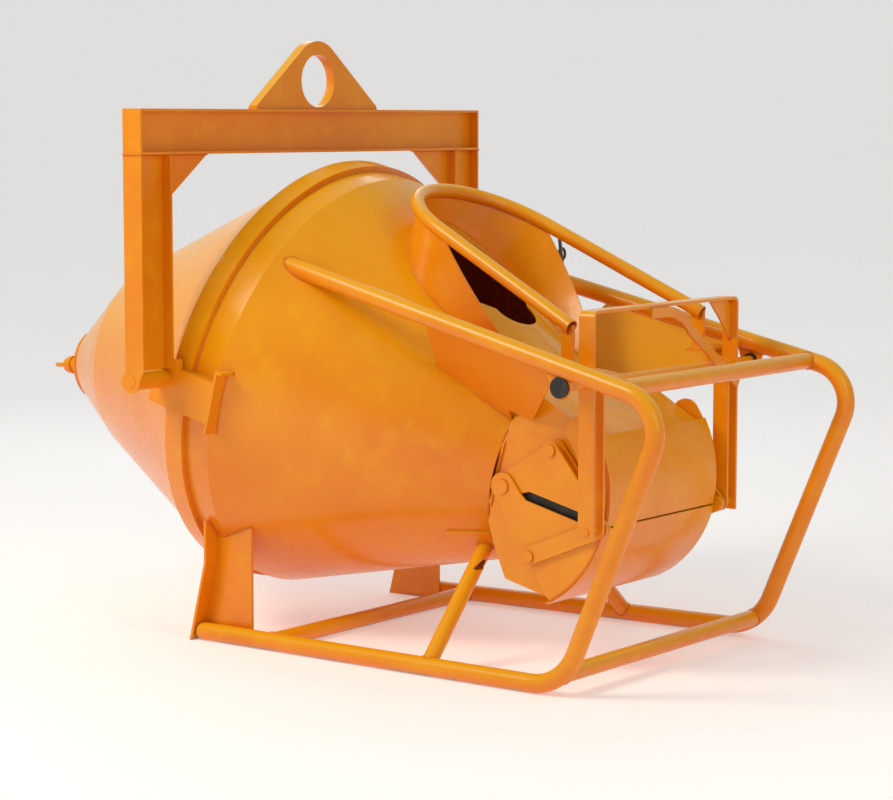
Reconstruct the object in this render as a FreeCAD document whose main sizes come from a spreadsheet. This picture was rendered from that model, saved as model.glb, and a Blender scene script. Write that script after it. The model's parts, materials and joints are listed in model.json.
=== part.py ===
import FreeCAD, Part
import math
import os
import Sketcher

# Lay-down concrete skip: a tilting steel drum in a tubular cradle frame, hung from a
# swinging bail, filled through a raised inlet and emptied through a two-jaw gate.
# Frame: +X towards the gate, +Y to the left, +Z up, the ground at Z = 0.

V = FreeCAD.Vector
SIDES = (("right", -1), ("left", 1))

# Driving dimensions, millimetres and degrees.
SIZES = {
    "datum_x": -253.4,            # where the drum belt's reference sits along X
    "tube_od": 48.3, "tube_wall": 4.0, "cross_od": 44.5, "bend_radius": 145.0,
    "corner_radius": 105.0,
    "skid_length": 1217.0, "skid_rear_y": 454.0, "skid_front_y": 487.0,
    "corner_x": 1518.0, "corner_z": 742.0,
    "rail_end_x": 267.0, "rail_end_y": 417.0, "rail_end_z": 1046.0,
    "top_cross_x": 1370.0, "rear_cross_x": 250.0,
    "drum_x": 69.6, "drum_z": 711.6, "drum_tilt": 14.6,
    "drum_radius": 595.0, "shell_t": 4.0,
    "belt_width": 60.0, "belt_height": 16.0, "belt_t": 6.0,
    "band_start": -38.0, "band_end": 103.0, "cone_end": 805.0, "cone_end_radius": 269.6,
    "rear_mid_x": -554.0, "rear_mid_z": 710.0, "rear_mid_radius": 294.0, "rear_mid_tilt": 3.0,
    "rear_end_x": -808.0, "rear_end_z": 683.0, "rear_end_radius": 108.0, "rear_end_tilt": -3.0,
    "rear_plate_t": 8.0, "boss_radius": 22.0, "boss_length": 128.0,
    "boss_pin_radius": 7.0, "boss_pin_length": 52.0,
    "neck_half_width": 252.0, "neck_t": 5.0, "neck_arc_radius": 317.0, "neck_flange_t": 8.0,
    "neck_flare": 0.88, "neck_back_deg": 2.0,
    "gate_s": 845.0, "gate_u": -22.0, "jaw_radius": 328.0, "jaw_t": 6.0,
    "upper_jaw_top": 42.0, "lower_jaw_end": 50.0, "jaw_gap_deg": 0.5,
    "jaw_side_gap": 6.0, "layer_gap": 2.0, "link_gap": 4.0, "flat_gap": 10.0,
    "slot_half": 12.0, "slot_start": 58.0,
    "lug_radius": 36.0, "cheek_round": 25.0, "cheek_arm": 80.0, "ear_over": 8.0,
    "pivot_pin_radius": 11.0, "pivot_clearance": 0.4,
    "link_pin_reach": 196.0, "link_pin_angle": 48.0, "lever_pin_reach": 325.0,
    "link_pin_radius": 10.0, "link_half_width": 23.0, "link_t": 8.0, "link_play": 3.0,
    "pin_head_radius": 16.0, "pin_head_t": 3.5,
    "lever_pivot_z": 770.0, "lever_rise": 179.0, "post_gap": 37.0, "lever_corner": 20.0,
    "lever_width": 45.0, "lever_t": 8.0, "shaft_radius": 13.0, "shaft_end_y": 470.0,
    "corner_plate": 110.0, "corner_plate_t": 6.0, "brace_depth": 26.0, "brace_t": 8.0,
    "brace_drop": 228.0, "brace_knee_y": 95.0,
    "bush_wall": 7.0, "bush_length": 22.0, "bush_cap": 4.0, "hanger_t": 8.0, "hanger_radius": 30.0,
    "mouth_start": 300.0, "mouth_half_width": 172.0, "mouth_end": 650.0, "mouth_taper": 0.42,
    "collar_start": 250.0, "collar_end": 735.0, "collar_foot_u": 150.0, "collar_inset": 3.0,
    "collar_rim_run": 640.0, "collar_rim_half": 300.0,
    "lip_top_s": 436.0, "lip_top_u": 587.0, "lip_low_s": 745.0, "lip_low_u": 296.0,
    "rim_od": 38.0, "rim_wall": 3.0, "rim_apex_s": 258.0, "rim_lift": 11.0,
    "rim_slope": 11.9, "rim_bow_radius": 250.0, "rim_end_s": 974.0, "rim_end_y": 319.0,
    "bail_x": 38.0, "bail_side_gap": 10.0, "beam_top": 1455.0,
    "beam_depth": 120.0, "beam_width": 64.0, "beam_web": 5.0, "beam_flange": 7.0,
    "trunnion_x": 23.0, "trunnion_z": 740.0, "trunnion_pin_radius": 17.0,
    "trunnion_clearance": 0.4, "trunnion_lug_radius": 32.0, "leg_cut_z": 767.0,
    "bracket_reach": 14.0, "bracket_t": 7.0, "bracket_rear": 90.0, "bracket_front": 117.0,
    "spacer_radius": 26.0, "bracket_top": 54.0, "bracket_drop": 60.0,
    "bracket_end_half": 87.0, "bracket_lip": 21.0,
    "stop_gap": 0.5, "stop_low": 18.0, "stop_height": 34.0,
    "eye_half_base": 268.0, "eye_height": 192.0, "eye_t": 30.0,
    "eye_hole_radius": 74.0, "eye_hole_z": 80.0, "eye_top_radius": 104.0,
    "gusset_run": 172.0, "gusset_drop": 128.0, "gusset_t": 10.0,
    "rear_leg_x": -24.0, "rear_leg_width": 185.0, "rear_leg_t": 8.0,
    "rear_leg_top": 335.0, "rear_leg_flange": 56.0,
    "rear_leg_knee": 0.66, "rear_leg_lean": 0.3, "rear_leg_bite": 3.0, "front_cross_angle": 52.5,
    "strut_x": 790.0, "strut_od": 42.4, "strut_azimuth": 218.0, "pad_arc": 26.0,
    "panel_t": 8.0, "panel_rear_x": 760.0, "panel_front_x": 1190.0,
    "panel_rear_s": 582.0, "panel_rear_angle": 39.7,
    "panel_front_s": 846.0, "panel_front_angle": 27.7, "ledge_z": 806.0, "ledge_t": 8.0,
    "ledge_width": 60.0, "ledge_length": 180.0, "post_setback": 12.0,
    "rim_post_width": 36.0, "rim_post_t": 10.0, "stay_radius": 5.0,
    "stay_run": 260.0, "stay_rail_x": 600.0,
    "pad_s": 782.0, "pad_length": 180.0, "pad_t": 8.0,
}

doc = FreeCAD.newDocument("concrete_skip")
sheet = doc.addObject("Spreadsheet::Sheet", "dims")
for row, (alias, value) in enumerate(SIZES.items(), start=1):
    sheet.set("A%d" % row, alias)
    sheet.set("B%d" % row, str(value))
    sheet.setAlias("B%d" % row, alias)
doc.recompute()

NODES = []


def size(alias):
    """Value of one driving dimension."""
    return float(sheet.get(alias))


def polar(radius, degrees):
    """Point of a flat outline at a radius and an angle."""
    angle = math.radians(degrees)
    return (radius * math.cos(angle), radius * math.sin(angle))


WORLD = FreeCAD.Placement(V(size("datum_x"), 0, 0), FreeCAD.Rotation())
DRUM = WORLD.multiply(FreeCAD.Placement(
    V(size("drum_x"), 0, size("drum_z")),
    FreeCAD.Rotation(V(0, 1, 0), size("drum_tilt"))))
GATE = DRUM.multiply(FreeCAD.Placement(V(size("gate_s"), 0, size("gate_u")), FreeCAD.Rotation()))


def belt_radius():
    """Outer radius of the belt, standing off the drum."""
    return size("drum_radius") + size("belt_height")


def bracket_y():
    """Distance from the middle to the outer face of a trunnion bracket."""
    return belt_radius() + size("bracket_reach")


def bail_half_width():
    """Distance from the middle to the outer face of a bail leg."""
    return bracket_y() + size("bail_side_gap") + size("beam_depth")


def moved(frame, x=0.0, y=0.0, z=0.0, rotation=None):
    """A frame shifted, and turned if asked, inside another frame."""
    turn = rotation or FreeCAD.Rotation()
    return frame.multiply(FreeCAD.Placement(V(x, y, z), turn))


def register(item, name):
    """Give a sub-part its node name and keep it for the export."""
    item.Label = name
    NODES.append(item)
    return item


def new_body(name, frame):
    body = doc.addObject("PartDesign::Body", "Body_" + name)
    body.Placement = frame
    return register(body, name)


def new_sketch(body, role, offset=0.0):
    """Sketch on one of the body's own origin planes."""
    plane = [f for f in body.Origin.OriginFeatures if f.Role == role][0]
    sketch = body.newObject("Sketcher::SketchObject", "Sketch")
    sketch.AttachmentSupport = (plane, [""])
    sketch.MapMode = "FlatFace"
    sketch.AttachmentOffset = FreeCAD.Placement(V(0, 0, offset), FreeCAD.Rotation())
    return sketch


def add_outline(sketch, points):
    """Closed outline; an item ("arc", middle, end) draws an arc to its end point."""
    def end_of(item):
        return item[2] if item[0] == "arc" else item

    last = end_of(points[-1])
    for item in points:
        end = end_of(item)
        start_v = V(last[0], last[1], 0)
        end_v = V(end[0], end[1], 0)
        if item[0] == "arc":
            middle = V(item[1][0], item[1][1], 0)
            sketch.addGeometry(Part.Arc(start_v, middle, end_v), False)
        else:
            sketch.addGeometry(Part.LineSegment(start_v, end_v), False)
        last = end


def add_circle(sketch, centre, alias, extra=None):
    """Circle whose radius is bound to the sheet, plus a named clearance if given."""
    value = size(alias) + (size(extra) if extra else 0.0)
    circle = Part.Circle(V(centre[0], centre[1], 0), V(0, 0, 1), value)
    index = sketch.addGeometry(circle, False)
    number = sketch.addConstraint(Sketcher.Constraint("Radius", index, value))
    formula = "dims." + alias + (" + dims." + extra if extra else "")
    sketch.setExpression("Constraints[%d]" % number, formula)
    return index


def pad(body, sketch, length, midplane=True, reverse=False):
    """Pad by an expression on the sheet, or by a plain length."""
    feature = body.newObject("PartDesign::Pad", "Pad")
    feature.Profile = sketch
    if isinstance(length, str):
        feature.setExpression("Length", length)
    else:
        feature.Length = length
    feature.Midplane = midplane
    feature.Reversed = reverse
    return feature


def flat_plate(name, frame, role, outline, thickness, holes=()):
    """Flat plate centred on its plane, with round holes bound to the sheet."""
    body = new_body(name, frame)
    sketch = new_sketch(body, role)
    add_outline(sketch, outline)
    for hole in holes:
        add_circle(sketch, *hole)
    pad(body, sketch, thickness)
    return body


def revolved(name, frame, profile, angle=360.0, midplane=False):
    """Ring or cone turned about the local X axis from an (x, radius) profile."""
    body = new_body(name, frame)
    sketch = new_sketch(body, "XZ_Plane")
    add_outline(sketch, profile)
    turn = body.newObject("PartDesign::Revolution", "Revolution")
    turn.Profile = sketch
    turn.ReferenceAxis = ([f for f in body.Origin.OriginFeatures if f.Role == "X_Axis"][0], [""])
    turn.Angle = angle
    turn.Midplane = midplane
    return body


def shape_node(name, shape):
    """Sub-part whose shape comes from Part's own functions."""
    item = doc.addObject("Part::Feature", name)
    item.Shape = shape
    return register(item, name)


def bent_wire(points, radii):
    """Straight runs joined by tangent arcs at the inner points."""
    edges = []
    start = points[0]
    for before, corner, after, radius in zip(points, points[1:], points[2:], radii):
        into = (corner - before).normalize()
        out = (after - corner).normalize()
        turn = math.acos(max(-1.0, min(1.0, into.dot(out))))
        reach = radius * math.tan(turn / 2)
        first = corner - into * reach
        last = corner + out * reach
        inward = (out - into).normalize()
        centre = corner + inward * (radius / math.cos(turn / 2))
        middle = centre - inward * radius
        edges.append(Part.LineSegment(start, first).toShape())
        edges.append(Part.Arc(first, middle, last).toShape())
        start = last
    edges.append(Part.LineSegment(start, points[-1]).toShape())
    return Part.Wire(edges)


def swept_tube(wire, od, wall):
    """Round tube along a wire."""
    start = wire.OrderedVertexes[0].Point
    along = wire.Edges[0].tangentAt(wire.Edges[0].FirstParameter)

    def swept(radius):
        profile = Part.Wire([Part.Circle(start, along, radius).toShape()])
        return wire.makePipeShell([profile], True, True)
    return swept(od / 2).cut(swept(od / 2 - wall))


def placed_circle(radius, x, z, tilt):
    """Circle about the X direction, its seam at the top, tilted about Y."""
    edge = Part.Circle(V(0, 0, 0), V(1, 0, 0), radius).toShape()
    edge.Placement = FreeCAD.Placement(V(x, 0, z), FreeCAD.Rotation(V(0, 1, 0), tilt))
    return Part.Wire([edge])


def cone_radius(s):
    """Outer radius of the front shell at a distance along the drum's axis."""
    if s <= size("band_end"):
        return size("drum_radius")
    share = (s - size("band_end")) / (size("cone_end") - size("band_end"))
    return size("drum_radius") + share * (size("cone_end_radius") - size("drum_radius"))


def cone_angle():
    drop = size("drum_radius") - size("cone_end_radius")
    return math.degrees(math.atan2(drop, size("cone_end") - size("band_end")))


def rear_solid(inset):
    """Oblique tapering rear volume of the drum, between the belt and the rear plate."""
    tilt = math.radians(size("drum_tilt"))
    ring_x = size("drum_x") + size("band_start") * math.cos(tilt)
    ring_z = size("drum_z") - size("band_start") * math.sin(tilt)
    sections = [
        placed_circle(size("drum_radius") - inset, ring_x, ring_z, size("drum_tilt")),
        placed_circle(size("rear_mid_radius") - inset, size("rear_mid_x"),
                      size("rear_mid_z"), size("rear_mid_tilt")),
        placed_circle(size("rear_end_radius") - inset, size("rear_end_x"),
                      size("rear_end_z"), size("rear_end_tilt")),
    ]
    solid = Part.makeLoft(sections, True, True)
    solid.Placement = WORLD.multiply(solid.Placement)
    return solid


def front_solid(extra):
    """Full volume of the front shell, grown by a radial allowance."""
    start = size("band_start")
    points = [V(start, 0, 0), V(start, 0, size("drum_radius") + extra),
              V(size("band_end"), 0, size("drum_radius") + extra),
              V(size("cone_end"), 0, size("cone_end_radius") + extra),
              V(size("cone_end"), 0, 0), V(start, 0, 0)]
    face = Part.Face(Part.makePolygon(points))
    solid = face.revolve(V(0, 0, 0), V(1, 0, 0), 360)
    solid.Placement = DRUM
    return solid


DRUM_VOLUME = rear_solid(0.0).fuse(front_solid(0.0))

# ---------------------------------------------------------------- drum

def rear_shell():
    shell = rear_solid(0.0).cut(rear_solid(size("shell_t")))
    shape_node("rear_shell", shell)


def rear_plate():
    frame = moved(WORLD, size("rear_end_x"), 0, size("rear_end_z"),
                  FreeCAD.Rotation(V(0, 1, 0), size("rear_end_tilt")))
    frame = moved(frame, -size("rear_plate_t"))
    body = new_body("rear_end_plate", frame)
    sketch = new_sketch(body, "YZ_Plane")
    add_circle(sketch, (0, 0), "rear_end_radius")
    pad(body, sketch, "dims.rear_plate_t", False)


def rear_boss():
    """Turned boss on the rear plate with a collar and a cone at its foot."""
    radius = size("boss_radius")
    length = size("boss_length")
    frame = moved(WORLD, size("rear_end_x"), 0, size("rear_end_z"),
                  FreeCAD.Rotation(V(0, 1, 0), size("rear_end_tilt")))
    frame = moved(frame, -size("rear_plate_t"))
    profile = [(0, 0), (0, radius * 1.9), (-length * 0.3, radius), (-length * 0.78, radius),
               (-length * 0.78, radius * 1.25), (-length * 0.9, radius * 1.25),
               (-length * 0.9, radius), (-length, radius), (-length, 0)]
    tip = size("boss_pin_radius")
    end = -length - size("boss_pin_length")
    profile[-1:] = [(-length, tip), (end + tip, tip), (end, tip * 0.5), (end, 0)]
    revolved("rear_boss", frame, profile)


def drum_belt():
    """Rolled channel round the drum at its widest section, open towards the shell."""
    inner = size("drum_radius")
    outer = belt_radius()
    width = size("belt_width")
    wall = size("belt_t")
    profile = [(0, inner), (0, outer), (width, outer), (width, inner),
               (width - wall, inner), (width - wall, outer - wall),
               (wall, outer - wall), (wall, inner)]
    revolved("drum_belt", moved(DRUM, size("band_start")), profile)


def mouth_outline():
    """Egg-shaped inlet opening seen along the drum's radial direction."""
    half = size("mouth_half_width")
    start = size("mouth_start")
    end = size("mouth_end")
    front_half = half * size("mouth_taper")
    centre = start + half
    front_centre = end - front_half
    return [
        (centre, half), ("arc", (start, 0), (centre, -half)),
        (front_centre, -front_half), ("arc", (end, 0), (front_centre, front_half)),
    ]


def front_shell():
    """Cylindrical band and cone in one piece, with the inlet opening cut in its top."""
    wall = size("shell_t")
    band = size("band_end")
    end = size("cone_end")
    big = size("drum_radius")
    small = size("cone_end_radius")
    start = size("band_start")
    profile = [(start, big - wall), (start, big), (band, big), (end, small),
               (end, small - wall), (band, big - wall)]
    body = revolved("front_shell", DRUM, profile)
    doc.recompute()
    sketch = new_sketch(body, "XY_Plane")
    add_outline(sketch, mouth_outline())
    cut = body.newObject("PartDesign::Pocket", "Mouth")
    cut.Profile = sketch
    cut.Type = 0
    cut.Length = belt_radius()
    cut.Reversed = True
    return body


def neck_section(inset):
    """Solid inside the mouthpiece: a box whose rear corners run out into a cone."""
    rebate = size("neck_flange_t")
    start = size("cone_end") - size("gate_s") + rebate
    rim = size("cone_end_radius")
    top = rim - size("gate_u") - rebate
    bottom = -rim - size("gate_u") + rebate
    arc = size("neck_arc_radius")
    upper = size("upper_jaw_top") - size("neck_back_deg")
    lower = size("lower_jaw_end") - size("neck_back_deg") / 2
    high = polar(arc, upper)
    low = polar(arc, -lower)
    half = size("neck_half_width") - inset
    top_slope = (high[1] - top) / (high[0] - start)
    low_slope = (low[1] - bottom) / (low[0] - start)
    if inset:
        past = arc + rebate
        back = start - rebate
        points = [(back, bottom + inset - low_slope * rebate),
                  (back, top - inset - top_slope * rebate),
                  (past, top - inset + top_slope * (past - start)),
                  (past, bottom + inset + low_slope * (past - start))]
        edges = Part.makePolygon([V(x, -half, z) for x, z in points + points[:1]])
        outline = Part.Wire(edges.Edges)
    else:
        mouth = polar(arc, (upper - lower) / 2)
        first = V(start, -half, bottom)
        second = V(start, -half, top)
        third = V(high[0], -half, high[1])
        fourth = V(low[0], -half, low[1])
        outline = Part.Wire([
            Part.LineSegment(first, second).toShape(), Part.LineSegment(second, third).toShape(),
            Part.Arc(third, V(mouth[0], -half, mouth[1]), fourth).toShape(),
            Part.LineSegment(fourth, first).toShape()])
    solid = Part.Face(outline).extrude(V(0, 2 * half, 0))
    solid.Placement = GATE
    flare = size("neck_flare")
    reach = size("jaw_radius") + size("neck_flange_t")
    back_s = size("cone_end") - size("neck_flange_t")
    cone = Part.makeCone(rim - inset, rim - inset + flare * (reach + size("neck_flange_t")),
                         reach + size("neck_flange_t"), V(back_s, 0, 0), V(1, 0, 0))
    cone.Placement = DRUM
    return solid.common(cone)


def neck():
    """Mouthpiece from the round flange to the jaws' arc, square at its front."""
    tube = neck_section(0.0).cut(neck_section(size("neck_t")))
    shape_node("neck", tube)
    plate = new_body("neck_flange", moved(DRUM, size("cone_end") + size("neck_flange_t") / 2))
    face = new_sketch(plate, "YZ_Plane")
    rim = size("cone_end_radius")
    flat = size("neck_half_width") + size("neck_t")
    rise = math.sqrt(rim ** 2 - flat ** 2)
    add_outline(face, [(flat, rise), ("arc", (0, rim), (-flat, rise)), (-flat, -rise),
                       ("arc", (0, -rim), (flat, -rise))])
    hole = face.addGeometry(Part.Circle(V(0, 0, 0), V(0, 0, 1), flat - 3 * size("neck_t")), False)
    number = face.addConstraint(Sketcher.Constraint("Radius", hole, flat - 3 * size("neck_t")))
    face.setExpression("Constraints[%d]" % number, "dims.neck_half_width - 2 * dims.neck_t")
    pad(plate, face, "dims.neck_flange_t")


def pin_pair(name, frame, radius_alias, first, last, head_radius=0.0, head_first=0.0):
    """Round pins on both sides between two distances from the middle, with heads outside."""
    parts = []
    for side, sign in SIDES:
        lengths = [(radius_alias, first, last)]
        if head_radius:
            lengths.append((None, head_first, head_first + size("pin_head_t")))
        for alias, low, high in lengths:
            bar = doc.addObject("Part::Cylinder", name + "_" + side)
            if alias:
                bar.setExpression("Radius", "dims." + alias)
            else:
                bar.Radius = head_radius
            bar.Height = high - low
            bar.Placement = FreeCAD.Placement(
                V(0, sign * low, 0), FreeCAD.Rotation(V(0, 0, 1), V(0, sign, 0)))
            parts.append(bar)
    pair = doc.addObject("Part::MultiFuse", "Pair_" + name)
    pair.Shapes = parts
    pair.Placement = frame
    return register(pair, name)


def side_layers():
    """Distances from the middle to the inner face of each moving flat beside the neck."""
    upper_cheek = size("neck_half_width") + size("jaw_side_gap")
    lower_cheek = upper_cheek + size("jaw_t") + size("layer_gap")
    lower_link = lower_cheek + size("jaw_t") + size("link_gap")
    upper_link = lower_link + size("link_t") + size("layer_gap")
    lever_flat = upper_link + size("link_t") + size("flat_gap")
    return upper_cheek, lower_cheek, lower_link, upper_link, lever_flat


def gate_pins():
    """Pivot stubs of the jaws, welded to the side walls of the neck."""
    head = side_layers()[1] + size("jaw_t") + size("layer_gap")
    pin_pair("gate_pins", GATE, "pivot_pin_radius", size("neck_half_width"),
             head + size("pin_head_t"), size("pivot_pin_radius") * 1.7, head)


# ---------------------------------------------------------------- inlet

def rim_frame():
    """Plane of the inlet rim: origin at the rim's rear apex, X running forward and down."""
    return moved(DRUM, size("rim_apex_s"), 0, size("drum_radius") + size("rim_lift"),
                 FreeCAD.Rotation(V(0, 1, 0), size("rim_slope")))


def rim_points():
    """Bow radius, run and end half-width of the rim's U in its own plane."""
    run = (size("rim_end_s") - size("rim_apex_s")) / math.cos(math.radians(size("rim_slope")))
    return size("rim_bow_radius"), run, size("rim_end_y")


def rim_swept(radius):
    """Solid round bar along the rim's line."""
    bow, run, end_y = rim_points()
    lean = math.atan2(end_y - bow, run - bow)
    start = V(bow - math.sin(lean) * bow, math.cos(lean) * bow, 0)
    mirror = V(start.x, -start.y, 0)
    first = V(run, -end_y, 0)
    wire = Part.Wire([
        Part.LineSegment(first, mirror).toShape(),
        Part.Arc(mirror, V(0, 0, 0), start).toShape(),
        Part.LineSegment(start, V(run, end_y, 0)).toShape(),
    ])
    profile = Part.Wire([Part.Circle(first, mirror - first, radius).toShape()])
    bar = wire.makePipeShell([profile], True, True)
    bar.Placement = rim_frame()
    return bar


def inlet_rim():
    """U-shaped tube round the inlet, its arms running forward to the rim posts."""
    radius = size("rim_od") / 2
    shape_node("inlet_rim", rim_swept(radius).cut(rim_swept(radius - size("rim_wall"))))


def inlet_collar():
    """Flared wall from the inlet opening up to the rim, sloping down to an open front."""
    wall = size("shell_t")
    half = size("mouth_half_width")
    inset = size("collar_inset")
    bow = size("rim_bow_radius") - inset

    def strip(frame, apex, radius, reach, end_half, height):
        """Closed U-shaped strip, one wall thick, in a plane of the given frame."""
        centre = apex + radius
        outer = [V(reach, end_half, height), V(centre, radius, height),
                 V(apex, 0, height), V(centre, -radius, height), V(reach, -end_half, height)]
        inner = [V(reach, -(end_half - wall), height), V(centre, -(radius - wall), height),
                 V(apex + wall, 0, height), V(centre, radius - wall, height),
                 V(reach, end_half - wall, height)]
        edges = [
            Part.LineSegment(outer[0], outer[1]).toShape(),
            Part.Arc(outer[1], outer[2], outer[3]).toShape(),
            Part.LineSegment(outer[3], outer[4]).toShape(),
            Part.LineSegment(outer[4], inner[0]).toShape(),
            Part.LineSegment(inner[0], inner[1]).toShape(),
            Part.Arc(inner[1], inner[2], inner[3]).toShape(),
            Part.LineSegment(inner[3], inner[4]).toShape(),
            Part.LineSegment(inner[4], outer[0]).toShape(),
        ]
        wire = Part.Wire(edges)
        wire.Placement = frame
        return wire

    low = strip(DRUM, size("collar_start"), half, size("collar_end"),
                half * size("mouth_taper"), size("collar_foot_u"))
    high = strip(rim_frame(), inset, bow, size("collar_rim_run"), size("collar_rim_half"),
                 -size("rim_od") / 2)
    solid = Part.makeLoft([low, high], True, True)
    solid = solid.cut(front_solid(0.0)).cut(lip_cutter())
    shape_node("inlet_collar", largest(solid))


def lip_cutter():
    """Everything above the sloping front edge of the collar's walls."""
    top = V(size("lip_top_s"), -size("drum_radius"), size("lip_top_u"))
    low = V(size("lip_low_s"), -size("drum_radius"), size("lip_low_u"))
    along = low - top
    over = V(-along.z, 0, along.x)
    corners = [top - along, low + along, low + along + over * 2, top - along + over * 2]
    cutter = extruded(corners, V(0, 2 * size("drum_radius"), 0))
    cutter.Placement = DRUM
    return cutter


# ---------------------------------------------------------------- cradle frame

def hoop_points(sign):
    return [
        V(0, sign * size("skid_rear_y"), size("tube_od") / 2),
        V(size("skid_length"), sign * size("skid_front_y"), size("tube_od") / 2),
        V(size("corner_x"), sign * size("skid_front_y"), size("corner_z")),
        V(size("rail_end_x"), sign * size("rail_end_y"), size("rail_end_z")),
    ]


def side_hoops():
    """Each side of the cradle: skid, front leg and rail bent from one tube."""
    for side, sign in SIDES:
        wire = bent_wire(hoop_points(sign), [size("bend_radius"), size("corner_radius")])
        wire.Placement = WORLD
        tube = swept_tube(wire, size("tube_od"), size("tube_wall"))
        tube = tube.cut(DRUM_VOLUME)
        pieces = sorted(tube.Solids, key=lambda item: item.Volume)
        shape_node("side_hoop_" + side, pieces[-1])


def hoop_core(sign):
    """Solid line of one hoop, used to cope the tubes that meet it."""
    wire = bent_wire(hoop_points(sign), [size("bend_radius"), size("corner_radius")])
    wire.Placement = WORLD
    start = wire.OrderedVertexes[0].Point
    along = hoop_points(sign)[1] - hoop_points(sign)[0]
    profile = Part.Wire([Part.Circle(start, along, size("tube_od") / 2).toShape()])
    return wire.makePipeShell([profile], True, True)


HOOP_CORES = [hoop_core(sign) for side, sign in SIDES]


def straight_tube(name, first, last, od, wall, trims):
    """Straight tube between two points, its ends coped to the pieces it meets."""
    along = last - first
    outer = Part.makeCylinder(od / 2, along.Length, first, along)
    inner = Part.makeCylinder(od / 2 - wall, along.Length, first, along)
    tube = outer.cut(inner)
    for trim in trims:
        tube = tube.cut(trim)
    pieces = sorted(tube.Solids, key=lambda item: item.Volume)
    return shape_node(name, pieces[-1])


def rail_at(x, sign):
    """Point on a rail's centre line at a distance along X."""
    corner = hoop_points(sign)[2]
    end = hoop_points(sign)[3]
    share = (x - corner.x) / (end.x - corner.x)
    return corner + (end - corner) * share


def skid_at(x, sign):
    """Point on a skid's centre line at a distance along X."""
    rear = hoop_points(sign)[0]
    front = hoop_points(sign)[1]
    return rear + (front - rear) * (x / front.x)


def cross_tubes():
    """Level tubes that join the two hoops at the rear, the front and the top."""
    shift = V(size("datum_x"), 0, 0)
    od = size("cross_od")
    wall = size("tube_wall")
    x = size("top_cross_x")
    straight_tube("top_cross_tube", rail_at(x, -1) + shift, rail_at(x, 1) + shift,
                  od, wall, HOOP_CORES)
    x = size("rear_cross_x")
    straight_tube("rear_cross_tube", skid_at(x, -1) + shift, skid_at(x, 1) + shift,
                  od, wall, HOOP_CORES)
    corner = hoop_points(-1)[1]
    lean = hoop_points(-1)[2] - corner
    bend = math.atan2(lean.z, lean.x)
    radius = size("bend_radius")
    middle_x = corner.x - radius * math.tan(bend / 2)
    middle_z = corner.z + radius
    angle = math.radians(size("front_cross_angle"))
    low = V(middle_x + radius * math.cos(angle), -size("skid_front_y"),
            middle_z - radius * math.sin(angle))
    high = V(low.x, -low.y, low.z)
    straight_tube("front_cross_tube", low + shift, high + shift, od, wall, HOOP_CORES)


def belt_volume():
    """Full ring volume of the belt."""
    start = V(size("band_start"), 0, 0)
    ring = Part.makeCylinder(belt_radius(), size("belt_width"), start, V(1, 0, 0))
    ring.Placement = DRUM
    return ring


def extruded(points, along):
    """Flat polygon swept straight along a vector."""
    return Part.Face(Part.makePolygon(points + points[:1])).extrude(along)


def largest(shape):
    """The main solid left after trimming."""
    return sorted(shape.Solids, key=lambda item: item.Volume)[-1]


def box(frame, first, last):
    """Straight-sided block between two corners in a frame."""
    low = [min(a, b) for a, b in zip(first, last)]
    extent = [abs(a - b) for a, b in zip(first, last)]
    block = Part.makeBox(extent[0], extent[1], extent[2], V(low[0], low[1], low[2]))
    block.Placement = frame
    return block


def neck_clearance():
    """Block kept free round the neck and its flange."""
    half = size("neck_half_width") + size("neck_t") + size("layer_gap")
    height = size("cone_end_radius") + size("layer_gap")
    return box(DRUM, (size("cone_end") - 1.0, -half, -height),
               (size("cone_end") + size("jaw_radius"), half, height))


def rear_legs():
    """Bent plate legs inside the skids' rear ends, an angle in section, up to the shell."""
    rear = size("rear_leg_x")
    width = size("rear_leg_width")
    thickness = size("rear_leg_t")
    top_z = size("rear_leg_top")
    knee_z = top_z * size("rear_leg_knee")
    lean = width * size("rear_leg_lean")
    face_y = size("skid_rear_y") - size("tube_od") / 2 + size("rear_leg_bite") - thickness
    for side, sign in SIDES:
        inner = sign * face_y
        web = [V(rear, inner, 0), V(rear + width, inner, 0), V(rear + width, inner, top_z),
               V(rear + lean, inner, top_z), V(rear + lean, inner, knee_z)]
        step = V(thickness, 0, 0)
        flange = [web[0], web[0] + step, web[4] + step, web[3] + step, web[3], web[4]]
        depth = size("rear_leg_flange")
        leg = extruded(web, V(0, sign * thickness, 0)).fuse(extruded(flange, V(0, sign * depth, 0)))
        leg = leg.removeSplitter()
        leg.translate(V(size("datum_x"), 0, 0))
        leg = leg.cut(DRUM_VOLUME).cut(belt_volume()).cut(HOOP_CORES[0]).cut(HOOP_CORES[1])
        shape_node("rear_leg_" + side, sorted(leg.Solids, key=lambda item: item.BoundBox.ZMin)[0])


def struts():
    """Inclined tubes from the skids to saddle pads under the cone."""
    shift = V(size("datum_x"), 0, 0)
    azimuth = size("strut_azimuth")
    pad_s = size("pad_s")
    rear_s = pad_s - size("pad_length") / 2
    front_s = min(pad_s + size("pad_length") / 2, size("cone_end") - 1.0)
    extra = size("pad_t") / math.cos(math.radians(cone_angle()))
    profile = [(rear_s, cone_radius(rear_s)), (rear_s, cone_radius(rear_s) + extra),
               (front_s, cone_radius(front_s) + extra), (front_s, cone_radius(front_s))]
    grown = front_solid(extra)
    for side, sign in SIDES:
        turn = FreeCAD.Rotation(V(1, 0, 0), sign * azimuth)
        revolved("strut_pad_" + side, moved(DRUM, rotation=turn), profile,
                 size("pad_arc"), True)
        foot = skid_at(size("strut_x"), sign) + shift
        head = moved(DRUM, rotation=turn).multVec(V(pad_s - 10.0, 0, cone_radius(pad_s) - 12.0))
        straight_tube("strut_" + side, foot, head, size("strut_od"),
                      size("tube_wall"), [grown, neck_clearance()] + HOOP_CORES)


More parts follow.
